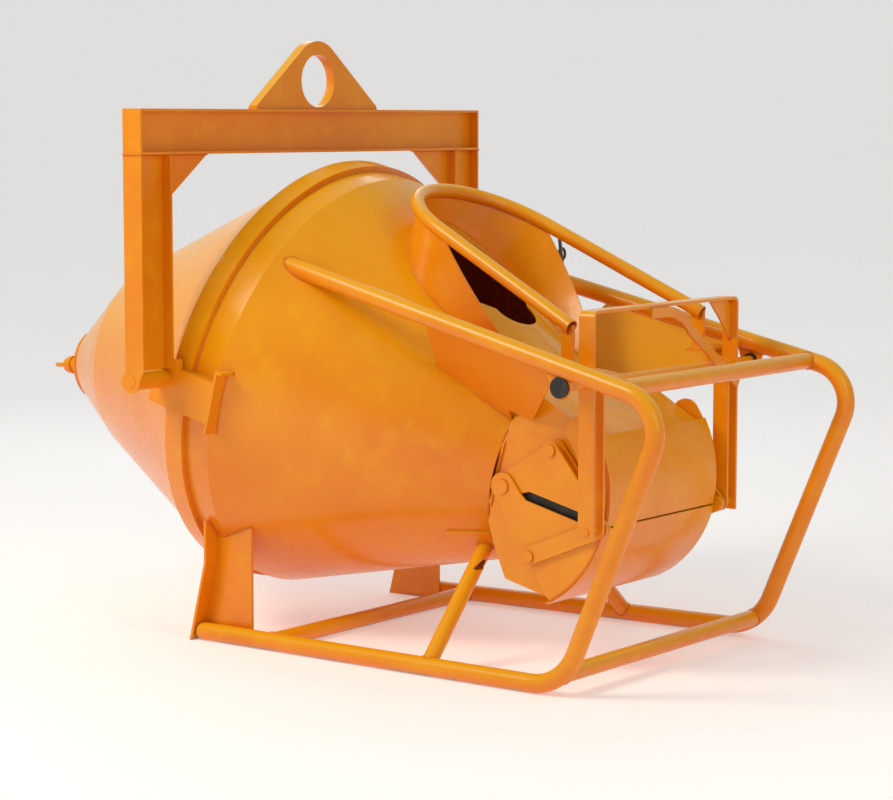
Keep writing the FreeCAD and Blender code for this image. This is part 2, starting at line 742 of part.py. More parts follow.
def rail_panel(sign):
    """Flat sloping panel between a rail and the cone, untrimmed."""
    def on_cone(name):
        s = size("panel_" + name + "_s")
        y, z = polar(cone_radius(s), size("panel_" + name + "_angle"))
        return DRUM.multVec(V(s, sign * y, z))

    shift = V(size("datum_x"), 0, 0)
    rear_top = rail_at(size("panel_rear_x"), sign) + shift
    front_top = rail_at(size("panel_front_x"), sign) + shift
    rear_low = on_cone("rear")
    front_low = on_cone("front")
    along = front_top - rear_top
    down = (rear_low + front_low) * 0.5 - rear_top
    normal = along.cross(down).normalize()
    rear_low = rear_low - normal * (rear_low - rear_top).dot(normal)
    front_low = front_low - normal * (front_low - rear_top).dot(normal)
    thickness = size("panel_t")
    panel = extruded([rear_top, front_top, front_low, rear_low], normal * thickness)
    panel.translate(normal * (-thickness / 2))
    return panel


def rail_plates():
    for side, sign in SIDES:
        panel = rail_panel(sign).cut(DRUM_VOLUME).cut(neck_clearance())
        panel = panel.cut(HOOP_CORES[0]).cut(HOOP_CORES[1])
        shape_node("rail_plate_" + side, largest(panel))


def rim_posts():
    """Upright flats that carry the ends of the rim's arms, on ledges off the side panels."""
    frame = rim_frame()
    bow, run, end_y = rim_points()
    end = frame.multVec(V(run - size("post_setback"), end_y, 0))
    thickness = size("ledge_t")
    low = size("ledge_z") + thickness / 2
    half_width = size("rim_post_width") / 2
    half_t = size("rim_post_t") / 2
    inner = end.y - half_width
    rim = rim_swept(size("rim_od") / 2)
    for side, sign in SIDES:
        middle = sign * end.y
        post = box(FreeCAD.Placement(), (end.x - half_width, middle - half_t, low),
                   (end.x + half_width, middle + half_t, end.z)).cut(rim)
        shape_node("rim_post_" + side, sorted(post.Solids, key=lambda item: item.BoundBox.ZMin)[0])
        half = size("ledge_width") / 2
        far = inner + size("ledge_length")
        corners = [V(end.x + dx, sign * y, low - thickness)
                   for dx, y in ((-half, inner), (half, inner), (half, far), (-half, far))]
        ledge = extruded(corners, V(0, 0, thickness))
        ledge = ledge.cut(rail_panel(sign)).cut(HOOP_CORES[0]).cut(HOOP_CORES[1])
        pieces = sorted(ledge.Solids, key=lambda item: abs(item.BoundBox.Center.y))
        shape_node("rim_ledge_" + side, pieces[0])


def rim_stay():
    """Thin safety rod with a ring between the left rim arm and the left rail."""
    bow, run, end_y = rim_points()
    share = (size("stay_run") - bow) / (run - bow)
    top = rim_frame().multVec(V(size("stay_run"), bow + (end_y - bow) * share, 0))
    foot = rail_at(size("stay_rail_x"), 1) + V(size("datum_x"), 0, 0)
    along = foot - top
    radius = size("stay_radius")
    ring_radius = radius * 3.2
    rod = Part.makeCylinder(radius, along.Length, top, along)
    ring = Part.makeTorus(ring_radius, radius * 0.8, top + along * 0.55 + V(0, 0, ring_radius),
                          V(1, 0, 0))
    stay = rod.fuse(ring).removeSplitter().cut(HOOP_CORES[1]).cut(rim_swept(size("rim_od") / 2))
    shape_node("rim_stay", largest(stay))


# ---------------------------------------------------------------- discharge gate

def sector(inner, outer, first, last):
    """Outline of a ring sector between two angles."""
    middle = (first + last) / 2
    return [polar(outer, first), ("arc", polar(outer, middle), polar(outer, last)),
            polar(inner, last), ("arc", polar(inner, middle), polar(inner, first))]


def gate_pivots():
    """Pivot points of the upper link, the lower link and the lever in the gate's frame."""
    upper = polar(size("link_pin_reach"), size("link_pin_angle"))
    lower = polar(size("link_pin_reach"), -size("link_pin_angle"))
    return upper, lower, (size("lever_pin_reach"), 0.0)


def beyond(point, direction, distance):
    return (point[0] + direction[0] * distance, point[1] + direction[1] * distance)


def toward(first, last):
    """Unit direction between two flat points and the one square to it, turned left."""
    length = math.hypot(last[0] - first[0], last[1] - first[1])
    along = ((last[0] - first[0]) / length, (last[1] - first[1]) / length)
    return along, (-along[1], along[0])


def lug_arc(first, last):
    """Rear round of a cheek about the gate pivot between two angles."""
    radius = size("lug_radius")
    return ("arc", polar(radius, (first + last) / 2), polar(radius, last))


def upper_cheek_outline():
    """Fan from the pivot to the link pin, with an arm that follows the jaw's arc."""
    inner = size("jaw_radius") - size("jaw_t")
    pin, lower_pin, lever_pin = gate_pivots()
    along, left = toward(pin, lever_pin)
    round_r = size("cheek_round")
    arm = size("cheek_arm")
    edge = beyond(pin, left, round_r)
    shift = edge[0] * along[0] + edge[1] * along[1]
    reach = (inner - arm) ** 2 - edge[0] ** 2 - edge[1] ** 2 + shift ** 2
    corner = beyond(edge, along, math.sqrt(reach) - shift)
    corner_angle = math.degrees(math.atan2(corner[1], corner[0]))
    ear = size("upper_jaw_top") + size("ear_over")
    slot = size("slot_half")
    slot_angle = math.degrees(math.asin(slot / inner))
    hump = polar(inner - arm / 2, ear + math.degrees(arm / 2 / inner))
    return [
        (size("slot_start"), 0), (size("slot_start") + slot * 1.8, slot), polar(inner, slot_angle),
        ("arc", polar(inner, (slot_angle + ear) / 2), polar(inner, ear)),
        ("arc", hump, polar(inner - arm, ear)),
        ("arc", polar(inner - arm, (corner_angle + ear) / 2), corner),
        edge, ("arc", beyond(beyond(pin, along, -round_r * 0.7), left, round_r * 0.7),
               beyond(pin, along, -round_r)),
        polar(size("lug_radius"), 110.0), lug_arc(110.0, 300.0),
    ]


def lower_cheek_outline():
    """Fan below the slot, its foot reaching past the link pin."""
    inner = size("jaw_radius") - size("jaw_t")
    slot = size("slot_half")
    slot_angle = math.degrees(math.asin(slot / inner))
    end = size("lower_jaw_end") - 2.0
    reach = size("link_pin_reach")
    angle = size("link_pin_angle")
    round_r = size("cheek_round")
    wrap = math.degrees(round_r / reach)
    outline = [
        (size("slot_start"), 0), polar(size("lug_radius"), 60.0), lug_arc(60.0, 260.0),
        polar(reach - round_r * 2, -angle - wrap * 2), polar(reach, -angle - wrap),
        polar(reach + round_r, -angle - 2.0), polar(inner * 0.88, -end - 1.5), polar(inner, -end),
        ("arc", polar(inner, -(slot_angle + end) / 2), polar(inner, -slot_angle)),
        (size("slot_start") + slot * 1.8, -slot),
    ]
    return outline


def jaws():
    """Two clamshell jaws on common pivots: rolled plates closed by flat cheeks."""
    outer = size("jaw_radius")
    inner = outer - size("jaw_t")
    gap = size("jaw_gap_deg")
    upper_y, lower_y = side_layers()[:2]
    upper_pin, lower_pin, lever_pin = gate_pivots()
    flat_plate("upper_jaw_plate", GATE, "XZ_Plane", sector(inner, outer, gap, size("upper_jaw_top")),
               "2 * (dims.neck_half_width + dims.jaw_side_gap + dims.jaw_t)")
    flat_plate("lower_jaw_plate", GATE, "XZ_Plane", sector(inner, outer, -size("lower_jaw_end"), -gap),
               "2 * (dims.neck_half_width + dims.jaw_side_gap + 2 * dims.jaw_t + dims.layer_gap)")
    hole = ((0, 0), "pivot_pin_radius", "pivot_clearance")
    half = size("jaw_t") / 2
    for side, sign in SIDES:
        flat_plate("upper_cheek_" + side, moved(GATE, 0, sign * (upper_y + half), 0), "XZ_Plane",
                   upper_cheek_outline(), "dims.jaw_t", [hole])
        flat_plate("lower_cheek_" + side, moved(GATE, 0, sign * (lower_y + half), 0), "XZ_Plane",
                   lower_cheek_outline(), "dims.jaw_t", [hole])
    lower_link_y, upper_link_y = side_layers()[2:4]
    for name, spot, first, link_y in (("upper_link_pins", upper_pin, upper_y, upper_link_y),
                                      ("lower_link_pins", lower_pin, lower_y, lower_link_y)):
        head = link_y + size("link_t") + size("layer_gap")
        pin_pair(name, moved(GATE, spot[0], 0, spot[1]), "link_pin_radius",
                 first + size("jaw_t"), head + size("pin_head_t"), size("pin_head_radius"), head)


def links():
    """Flat links from the jaws' pins to the lever's lower pins."""
    upper_pin, lower_pin, lever_pin = gate_pivots()
    lower_y, upper_y = side_layers()[2:4]
    half = size("link_half_width")
    for name, pin, link_y in (("upper_link_", upper_pin, upper_y), ("lower_link_", lower_pin, lower_y)):
        along, left = toward(pin, lever_pin)
        outline = [
            beyond(lever_pin, left, half),
            ("arc", beyond(lever_pin, along, half), beyond(lever_pin, left, -half)),
            beyond(pin, left, -half), ("arc", beyond(pin, along, -half), beyond(pin, left, half))]
        holes = [(pin, "link_pin_radius", "link_play"), (lever_pin, "link_pin_radius", "pivot_clearance")]
        for side, sign in SIDES:
            flat_plate(name + side, moved(GATE, 0, sign * (link_y + size("link_t") / 2), 0),
                       "XZ_Plane", outline, "dims.link_t", holes)


# ---------------------------------------------------------------- operating lever

def lever_frame():
    """Pivot axis of the lever, straight above the links' common pin."""
    pin = GATE.multVec(V(size("lever_pin_reach"), 0, 0))
    return FreeCAD.Placement(V(pin.x, 0, size("lever_pivot_z")), FreeCAD.Rotation())


def lever():
    """Inverted-U arch with inner flats, pivot shaft, lower pins and corner stiffening."""
    frame = lever_frame()
    drop = size("lever_pivot_z") - GATE.multVec(V(size("lever_pin_reach"), 0, 0)).z
    half = size("lever_width") / 2
    thick = size("lever_t")
    inner = side_layers()[4] + thick + size("post_gap")
    outer = inner + thick
    top = size("lever_rise") + thick / 2
    foot = -drop - half
    curve = size("lever_corner")
    nick = curve * (1 - math.sqrt(0.5))
    small = curve - thick
    small_nick = small * (1 - math.sqrt(0.5)) + thick
    body = new_body("lever_arch", frame)
    sketch = new_sketch(body, "YZ_Plane")
    add_outline(sketch, [
        (-outer, foot), (-outer, top - curve),
        ("arc", (-outer + nick, top - nick), (-outer + curve, top)), (outer - curve, top),
        ("arc", (outer - nick, top - nick), (outer, top - curve)), (outer, foot),
        (inner, foot), (inner, top - curve),
        ("arc", (outer - small_nick, top - small_nick), (outer - curve, top - thick)),
        (-outer + curve, top - thick),
        ("arc", (-outer + small_nick, top - small_nick), (-inner, top - curve)), (-inner, foot)])
    pad(body, sketch, "dims.lever_width")
    doc.recompute()
    bores = new_sketch(body, "XZ_Plane")
    add_circle(bores, (0, 0), "shaft_radius")
    add_circle(bores, (0, -drop), "link_pin_radius")
    cut = body.newObject("PartDesign::Pocket", "Bores")
    cut.Profile = bores
    cut.Type = 0
    cut.Midplane = True
    cut.Length = 3 * outer
    flat_y = side_layers()[4]
    rounded = [(half, -drop), ("arc", (0, -drop - half), (-half, -drop)), (-half, 0),
               ("arc", (0, half), (half, 0))]
    holes = [((0, 0), "shaft_radius"), ((0, -drop), "link_pin_radius")]
    for side, sign in SIDES:
        flat_plate("lever_flat_" + side, moved(frame, 0, sign * (flat_y + thick / 2), 0),
                   "XZ_Plane", rounded, "dims.lever_t", holes)
    pin_pair("lever_pins", moved(frame, 0, 0, -drop), "link_pin_radius",
             side_layers()[1] + size("jaw_t") + size("layer_gap"), outer + size("pin_head_t"))
    shaft = new_body("lever_shaft", frame)
    round_sketch = new_sketch(shaft, "XZ_Plane")
    add_circle(round_sketch, (0, 0), "shaft_radius")
    pad(shaft, round_sketch, "2 * dims.shaft_end_y")
    plate = size("corner_plate")
    under = top - thick
    flat_plate("lever_corner_plate", frame, "YZ_Plane",
               [(inner, under - curve), (inner - curve, under), (inner - plate, under),
                (inner - plate * 0.55, under - plate * 0.42), (inner, under - plate)],
               "dims.corner_plate_t")
    lever_brace(moved(frame, half + size("brace_t") / 2), under, inner)


def lever_brace(frame, under, inner):
    """Bent flat bar from the arch's top down to its left post, on their front edges."""
    low_end = under - size("brace_drop")
    knee = (size("brace_knee_y"), under - size("brace_depth") * 2.5)
    slope = toward(knee, (inner, low_end))
    flat = under - size("brace_depth") / 2
    line = [(-knee[0], flat), (-knee[0] * 0.2, flat), (knee[0] * 0.45, (flat * 3 + knee[1]) / 4), knee,
            (inner, low_end)]
    lefts = [(0, 1), (0, 1), toward(line[1], knee)[1], slope[1], slope[1]]
    half = size("brace_depth") / 2
    upper = [beyond(point, left, half) for point, left in zip(line, lefts)]
    lower = [beyond(point, left, -half) for point, left in zip(line, lefts)]
    flat_plate("lever_brace", frame, "YZ_Plane",
               [upper[0], upper[1], ("arc", upper[2], upper[3]), upper[4],
                lower[4], lower[3], ("arc", lower[2], lower[1]), lower[0]], "dims.brace_t")


def lever_hangers():
    """Plates under the rails with plain bushes for the lever's shaft."""
    frame = lever_frame()
    rail = rail_at(frame.Base.x - size("datum_x"), 1)
    radius = size("hanger_radius")
    thickness = size("hanger_t")
    bush_radius = size("shaft_radius") + size("pivot_clearance") + size("bush_wall")
    bushes = []
    for side, sign in SIDES:
        middle = V(frame.Base.x, sign * rail.y, frame.Base.z)
        start = middle - V(0, thickness / 2, 0)
        top = V(0, 0, rail.z - frame.Base.z)
        lug = Part.makeCylinder(radius, thickness, start, V(0, 1, 0))
        corners = [start + V(-radius, 0, 0), start + V(radius, 0, 0),
                   start + V(radius * 1.5, 0, 0) + top, start + V(-radius * 1.5, 0, 0) + top]
        lug = lug.fuse(extruded(corners, V(0, thickness, 0))).removeSplitter()
        lug = lug.cut(Part.makeCylinder(bush_radius, thickness * 3, start - V(0, thickness, 0),
                                        V(0, 1, 0)))
        lug = lug.cut(HOOP_CORES[0]).cut(HOOP_CORES[1])
        shape_node("lever_hanger_" + side, largest(lug))
        length = size("bush_length")
        outside = middle - V(0, sign * length / 2, 0)
        bush = Part.makeCylinder(bush_radius, length, outside, V(0, sign, 0))
        collar = middle + V(0, sign * thickness / 2, 0)
        bush = bush.fuse(Part.makeCylinder(bush_radius * 1.3, length / 2 - thickness / 2, collar,
                                           V(0, sign, 0)))
        bore = size("shaft_radius") + size("pivot_clearance")
        bush = bush.cut(Part.makeCylinder(bore, length * 1.5 - size("bush_cap"),
                                          middle - V(0, sign * length, 0), V(0, sign, 0)))
        bushes.append(bush.removeSplitter().cut(HOOP_CORES[0]).cut(HOOP_CORES[1]))
    shape_node("lever_bushes", Part.makeCompound(bushes))


# ---------------------------------------------------------------- trunnions and bail

def trunnion_brackets():
    """Welded brackets on the belt that carry the bail's pins and its forward stop."""
    outer = bracket_y()
    t = size("bracket_t")
    rear = -size("bracket_rear")
    front = size("bracket_front")
    top = size("bracket_top")
    low = -size("bracket_drop")
    end = size("bracket_end_half")
    inner = belt_radius() * 0.9
    stop_x = size("bail_x") + size("beam_width") / 2 + size("stop_gap")
    stop_y = bail_half_width() - size("beam_depth") + size("beam_flange")
    stop_z = size("trunnion_z") + size("stop_low")
    lip = size("bracket_lip")
    for side, sign in SIDES:
        blocks = [
            box(DRUM, (rear, sign * (outer - t), low), (front, sign * outer, top)),
            box(DRUM, (rear, sign * inner, top - t), (front, sign * outer, top)),
            box(DRUM, (rear, sign * inner, low), (front, sign * outer, low + t)),
            box(DRUM, (rear, sign * inner, low), (rear + t, sign * outer, top)),
            box(DRUM, (front, sign * inner * 0.94, -end), (front + t, sign * outer, end)),
            box(DRUM, (front, sign * inner * 0.94, end - t), (front + lip, sign * outer, end)),
            box(WORLD, (stop_x, sign * (outer - t), stop_z),
                (stop_x + 2 * t, sign * stop_y, stop_z + size("stop_height"))),
        ]
        bracket = blocks[0]
        for block in blocks[1:]:
            bracket = bracket.fuse(block)
        bracket = bracket.removeSplitter().cut(DRUM_VOLUME).cut(belt_volume())
        shape_node("trunnion_bracket_" + side, largest(bracket))
    frame = moved(WORLD, size("trunnion_x"), 0, size("trunnion_z"))
    inner_flange = bail_half_width() - size("beam_flange")
    pin_pair("trunnion_pins", frame, "trunnion_pin_radius", outer, bail_half_width() + 1.0)
    spacers = []
    for side, sign in SIDES:
        start = V(0, sign * outer, 0)
        length = inner_flange - outer - size("stop_gap")
        tube = Part.makeCylinder(size("spacer_radius"), length, start, V(0, sign, 0))
        spacers.append(tube.cut(Part.makeCylinder(size("trunnion_pin_radius"), length, start,
                                                  V(0, sign, 0))))
    pair = shape_node("trunnion_spacers", Part.makeCompound(spacers))
    pair.Placement = frame


def i_section(across, deep, web, flange):
    """I outline: flanges across the first direction, depth along the second."""
    a = across / 2
    b = deep / 2
    w = web / 2
    return [(-a, -b), (a, -b), (a, -b + flange), (w, -b + flange), (w, b - flange), (a, b - flange),
            (a, b), (-a, b), (-a, b - flange), (-w, b - flange), (-w, -b + flange), (-a, -b + flange)]


def bail():
    """Swinging lifting bail: I-beam on two I-section legs with gussets and an eye plate."""
    x = size("bail_x")
    across = size("beam_width")
    deep = size("beam_depth")
    web = size("beam_web")
    flange = size("beam_flange")
    half = bail_half_width()
    under = size("beam_top") - deep
    body = new_body("bail_beam", moved(WORLD, x, 0, under + deep / 2))
    sketch = new_sketch(body, "XZ_Plane")
    add_outline(sketch, i_section(across, deep, web, flange))
    pad(body, sketch, 2 * half)
    doc.recompute()
    for side, sign in SIDES:
        cap = new_sketch(body, "XZ_Plane", -sign * half)
        corner = deep / 2
        add_outline(cap, [(-across / 2, -corner), (across / 2, -corner), (across / 2, corner),
                          (-across / 2, corner)])
        pad(body, cap, "dims.beam_flange", False, sign < 0)
        doc.recompute()
    cut_z = size("leg_cut_z")
    pin_x = size("trunnion_x") - x
    pin_z = size("trunnion_z") - cut_z
    lug = size("trunnion_lug_radius")
    for side, sign in SIDES:
        frame = moved(WORLD, x, sign * (half - deep / 2), cut_z)
        leg = new_body("bail_leg_" + side, frame)
        sketch = new_sketch(leg, "XY_Plane")
        add_outline(sketch, i_section(across, deep, web, flange))
        pad(leg, sketch, "dims.beam_top - dims.beam_depth - dims.leg_cut_z", False)
        doc.recompute()
        foot = new_sketch(leg, "XZ_Plane", -sign * (deep - flange) / 2)
        add_outline(foot, [
            (-across / 2, 0), (pin_x - lug, pin_z), ("arc", (pin_x, pin_z - lug), (pin_x + lug, pin_z)),
            (across / 2, 0), (across / 2, lug), (-across / 2, lug)])
        pad(leg, foot, "dims.beam_flange")
        doc.recompute()
        hole = new_sketch(leg, "XZ_Plane", -sign * (deep - flange) / 2)
        add_circle(hole, (pin_x, pin_z), "trunnion_pin_radius", "trunnion_clearance")
        cut = leg.newObject("PartDesign::Pocket", "PinHole")
        cut.Profile = hole
        cut.Type = 0
        cut.Midplane = True
        cut.setExpression("Length", "3 * dims.beam_flange")
        reach = half - deep
        outline = [(sign * (reach - size("gusset_run")), 0), (sign * reach, 0),
                   (sign * reach, -size("gusset_drop"))]
        flat_plate("bail_gusset_" + side, moved(WORLD, x, 0, under), "YZ_Plane", outline,
                   "dims.gusset_t")
    lifting_eye()


def lifting_eye():
    """Thick eye plate standing on the middle of the beam."""
    base = size("eye_half_base")
    radius = size("eye_top_radius")
    middle = size("eye_height") - radius
    shoulder = size("eye_height") * 0.05
    reach = math.hypot(base, middle - shoulder)
    angle = math.atan2(shoulder - middle, base) + math.acos(radius / reach)
    touch = (radius * math.cos(angle), middle + radius * math.sin(angle))
    flat_plate("lifting_eye", moved(WORLD, size("bail_x"), 0, size("beam_top")), "YZ_Plane",
               [(base, 0), (base, shoulder), touch,
                ("arc", (0, size("eye_height")), (-touch[0], touch[1])), (-base, shoulder), (-base, 0)],
               "dims.eye_t", [((0, size("eye_hole_z")), "eye_hole_radius")])


for build in (rear_shell, rear_plate, rear_boss, drum_belt, front_shell, neck, gate_pins,
              inlet_rim, inlet_collar, side_hoops, cross_tubes, rear_legs, struts, rail_plates,
              rim_posts, rim_stay, jaws, links, lever, lever_hangers, trunnion_brackets, bail):
    build()

doc.recompute()
problems = [item.Name for item in doc.Objects
            if "Invalid" in item.State or "Error" in item.State]
for item in NODES:
    if item.Shape.isNull() or not item.Shape.isValid():
        problems.append(item.Label)
if problems:
    raise RuntimeError("sub-parts that did not build: " + ", ".join(problems))

os.makedirs("parts", exist_ok=True)
for item in NODES:
    item.Shape.exportStep("parts/" + item.Label + ".step")
    box_mm = item.Shape.BoundBox
    print("%-22s solids %d vol %.0f  x %.0f..%.0f y %.0f..%.0f z %.0f..%.0f" % (
        item.Label, len(item.Shape.Solids), item.Shape.Volume,
        box_mm.XMin, box_mm.XMax, box_mm.YMin, box_mm.YMax, box_mm.ZMin, box_mm.ZMax))
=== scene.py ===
import json
import math
import random

import bmesh
import bpy
from mathutils import Matrix, Vector
from mathutils.bvhtree import BVHTree


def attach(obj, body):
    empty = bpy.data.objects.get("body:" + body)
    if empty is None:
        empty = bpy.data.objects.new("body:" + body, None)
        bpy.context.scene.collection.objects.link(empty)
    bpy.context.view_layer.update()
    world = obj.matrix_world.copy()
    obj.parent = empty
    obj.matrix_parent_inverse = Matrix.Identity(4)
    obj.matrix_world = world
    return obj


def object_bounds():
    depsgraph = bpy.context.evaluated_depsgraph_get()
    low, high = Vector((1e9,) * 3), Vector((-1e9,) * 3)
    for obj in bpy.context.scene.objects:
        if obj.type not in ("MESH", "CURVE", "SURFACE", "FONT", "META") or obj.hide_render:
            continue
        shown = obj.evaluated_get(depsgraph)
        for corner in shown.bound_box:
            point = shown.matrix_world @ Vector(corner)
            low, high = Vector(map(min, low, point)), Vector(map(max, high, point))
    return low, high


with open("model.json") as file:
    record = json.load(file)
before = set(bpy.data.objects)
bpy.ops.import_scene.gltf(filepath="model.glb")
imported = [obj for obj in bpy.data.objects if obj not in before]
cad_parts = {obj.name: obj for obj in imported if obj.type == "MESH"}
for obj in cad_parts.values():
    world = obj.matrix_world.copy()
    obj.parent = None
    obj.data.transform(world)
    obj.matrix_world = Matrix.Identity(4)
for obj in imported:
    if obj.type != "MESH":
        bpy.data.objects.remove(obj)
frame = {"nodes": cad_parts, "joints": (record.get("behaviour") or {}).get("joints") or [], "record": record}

CAD_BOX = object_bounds()
NODES = frame["nodes"]
BODY_OF = {node: body for body, members in frame["record"]["behaviour"]["bodies"].items()
           for node in members}
random.seed(7)

# Weld beads, metres: size and ripple, and what counts as a seam between two nodes.
BEAD_RADIUS = 0.0032
BEAD_STEP = 0.0045
BEAD_SIDES = 6
BEAD_RIPPLE = 0.16
BEAD_UNEVEN = 0.08
BEAD_END = 0.45
BEAD_LIFT = 1.3
SHORTEST_BEAD = 0.012
WELD_UP = Vector((0.31, 0.42, 0.85)).normalized()
TOUCH = 0.0012
SHARP = math.radians(25)
MERGE = 1e-5
KEY_STEPS = 20000

# Stage: reach of the floor, start and radius of the sweep-up, glow and surround strength.
STAGE_FRONT = 26.0
STAGE_BACK = 9.0
STAGE_BEND = 6.0
BEND_STEPS = 12
FLOOR_DROP = 0.0005
FLOOR_GLOW = 0.30
SURROUND = 0.36
VIEW_TURN = math.radians(36.26)

# Black strips of painted shade beside the gate, darkening the slot between the cheeks, metres: distance from
# the pivot, size, gap to the cheek.
SLOT_SHADE_MIDDLE = 0.185
SLOT_SHADE_LENGTH = 0.254
SLOT_SHADE_WIDTH = 0.036
SLOT_SHADE_THICK = 0.003
SLOT_SHADE_GAP = 0.0042


# ---------------------------------------------------------------- materials

def new_material(name):
    material = bpy.data.materials.new(name)
    material.use_nodes = True
    tree = material.node_tree
    shader = tree.nodes["Principled BSDF"]
    return material, tree, shader


def noise(tree, coords, scale, detail=4.0, roughness=0.55):
    node = tree.nodes.new("ShaderNodeTexNoise")
    node.inputs["Scale"].default_value = scale
    node.inputs["Detail"].default_value = detail
    node.inputs["Roughness"].default_value = roughness
    tree.links.new(coords, node.inputs["Vector"])
    return node.outputs["Fac"]


def ramp(tree, value, low, high, first=0.0, last=1.0):
    node = tree.nodes.new("ShaderNodeMapRange")
    node.inputs["From Min"].default_value = low
    node.inputs["From Max"].default_value = high
    node.inputs["To Min"].default_value = first
    node.inputs["To Max"].default_value = last
    tree.links.new(value, node.inputs["Value"])
    return node.outputs["Result"]


def mix(tree, factor, first, second):
    node = tree.nodes.new("ShaderNodeMix")
    node.data_type = "RGBA"
    for socket, value in ((node.inputs["Factor"], factor), (node.inputs[6], first),
                          (node.inputs[7], second)):
        if hasattr(value, "is_output"):
            tree.links.new(value, socket)
        elif isinstance(value, tuple):
            socket.default_value = (*value, 1.0)
        else:
            socket.default_value = value
    return node.outputs[2]


def calc(tree, operation, first, second):
    node = tree.nodes.new("ShaderNodeMath")
    node.operation = operation
    for socket, value in zip(node.inputs, (first, second)):
        if hasattr(value, "is_output"):
            tree.links.new(value, socket)
        else:
            socket.default_value = value
    return node.outputs[0]


def bump(tree, height, strength, distance, normal=None):
    node = tree.nodes.new("ShaderNodeBump")
    node.inputs["Strength"].default_value = strength
    node.inputs["Distance"].default_value = distance
    tree.links.new(height, node.inputs["Height"])
    if normal is not None:
        tree.links.new(normal, node.inputs["Normal"])
    return node.outputs["Normal"]


# Enamel: scales of its unevenness, and the colours of bare chips and floor scuffs.
BROAD_SCALE = 2.3
MOTTLE_SCALE = 14.0
SPECK_SCALE = 160.0
SHEET_SCALE = 5.0
PEEL_SCALE = 420.0
CHIP_COLOUR = (0.30, 0.10, 0.03)
SCUFF_COLOUR = (0.22, 0.19, 0.16)
SCUFF_HEIGHT = 0.012
COAT = 0.2
COAT_ROUGH = 0.09


def paint_material(name, base, deep, pale, waves, rough):
    """Thick gloss enamel over hand-rolled steel: waviness, orange peel, wear and scuffs, with a painted
    highlight on faces turned up and painted shade on faces turned down.
    """
    material, tree, shader = new_material(name)
    coords = tree.nodes.new("ShaderNodeTexCoord").outputs["Object"]
    broad = noise(tree, coords, BROAD_SCALE, 3.0)
    mottled = noise(tree, coords, MOTTLE_SCALE, 5.0)
    speck = noise(tree, coords, SPECK_SCALE, 2.0)
    colour = mix(tree, ramp(tree, broad, 0.3, 0.7), deep, base)
    colour = mix(tree, ramp(tree, mottled, 0.52, 0.75, 0.0, 0.35), colour, pale)
    geometry = tree.nodes.new("ShaderNodeNewGeometry")
    facing = tree.nodes.new("ShaderNodeSeparateXYZ")
    tree.links.new(geometry.outputs["Normal"], facing.inputs[0])
    # Painted highlight on faces turned up (toward the pale colour) and painted shade on faces turned down
    # (toward the deep colour).
    colour = mix(tree, ramp(tree, facing.outputs["Z"], -0.1, 0.8, 0.0, 0.85), colour, pale)
    colour = mix(tree, ramp(tree, facing.outputs["Z"], -0.1, -0.8, 0.0, 0.7), colour, deep)
    chips = ramp(tree, speck, 0.735, 0.75)
    colour = mix(tree, calc(tree, "MULTIPLY", chips, 0.5), colour, CHIP_COLOUR)
    split = tree.nodes.new("ShaderNodeSeparateXYZ")
    tree.links.new(geometry.outputs["Position"], split.inputs[0])
    low = ramp(tree, split.outputs["Z"], SCUFF_HEIGHT, 0.0)
    scuff = calc(tree, "MULTIPLY", low, ramp(tree, mottled, 0.4, 0.6))
    colour = mix(tree, calc(tree, "MULTIPLY", scuff, 0.7), colour, SCUFF_COLOUR)
    tree.links.new(colour, shader.inputs["Base Color"])
    tree.links.new(ramp(tree, mottled, 0.3, 0.75, rough, rough + 0.12), shader.inputs["Roughness"])
    shader.inputs["Metallic"].default_value = 0.0
    shader.inputs["IOR"].default_value = 1.5
    shader.inputs["Specular IOR Level"].default_value = 0.35
    shader.inputs["Coat Weight"].default_value = COAT
    shader.inputs["Coat Roughness"].default_value = COAT_ROUGH
    sheet = noise(tree, coords, SHEET_SCALE, 2.0)
    peel = noise(tree, coords, PEEL_SCALE, 2.0)
    normal = bump(tree, sheet, waves, 0.02)
    normal = bump(tree, mottled, 0.12, 0.002, normal)
    normal = bump(tree, peel, 0.10, 0.0006, normal)
    tree.links.new(normal, shader.inputs["Normal"])
    return material


def polymer_material():
    material, tree, shader = new_material("black_polymer")
    coords = tree.nodes.new("ShaderNodeTexCoord").outputs["Object"]
    grain = noise(tree, coords, 300.0, 3.0)
    dust = noise(tree, coords, 30.0, 4.0)
    colour = mix(tree, ramp(tree, dust, 0.5, 0.8, 0.0, 0.4), (0.012, 0.011, 0.010),
                 (0.10, 0.075, 0.05))
    tree.links.new(colour, shader.inputs["Base Color"])
    tree.links.new(ramp(tree, grain, 0.3, 0.7, 0.42, 0.6), shader.inputs["Roughness"])
    tree.links.new(bump(tree, grain, 0.3, 0.0008), shader.inputs["Normal"])
    return material


def steel_material():
    material, tree, shader = new_material("oiled_steel")
    coords = tree.nodes.new("ShaderNodeTexCoord").outputs["Object"]
    rust = noise(tree, coords, 90.0, 5.0)
    colour = mix(tree, ramp(tree, rust, 0.5, 0.7), (0.10, 0.085, 0.075), (0.20, 0.075, 0.025))
    tree.links.new(colour, shader.inputs["Base Color"])
    tree.links.new(ramp(tree, rust, 0.4, 0.7, 0.35, 0.7), shader.inputs["Roughness"])
    shader.inputs["Metallic"].default_value = 0.85
    tree.links.new(bump(tree, rust, 0.3, 0.001), shader.inputs["Normal"])
    return material


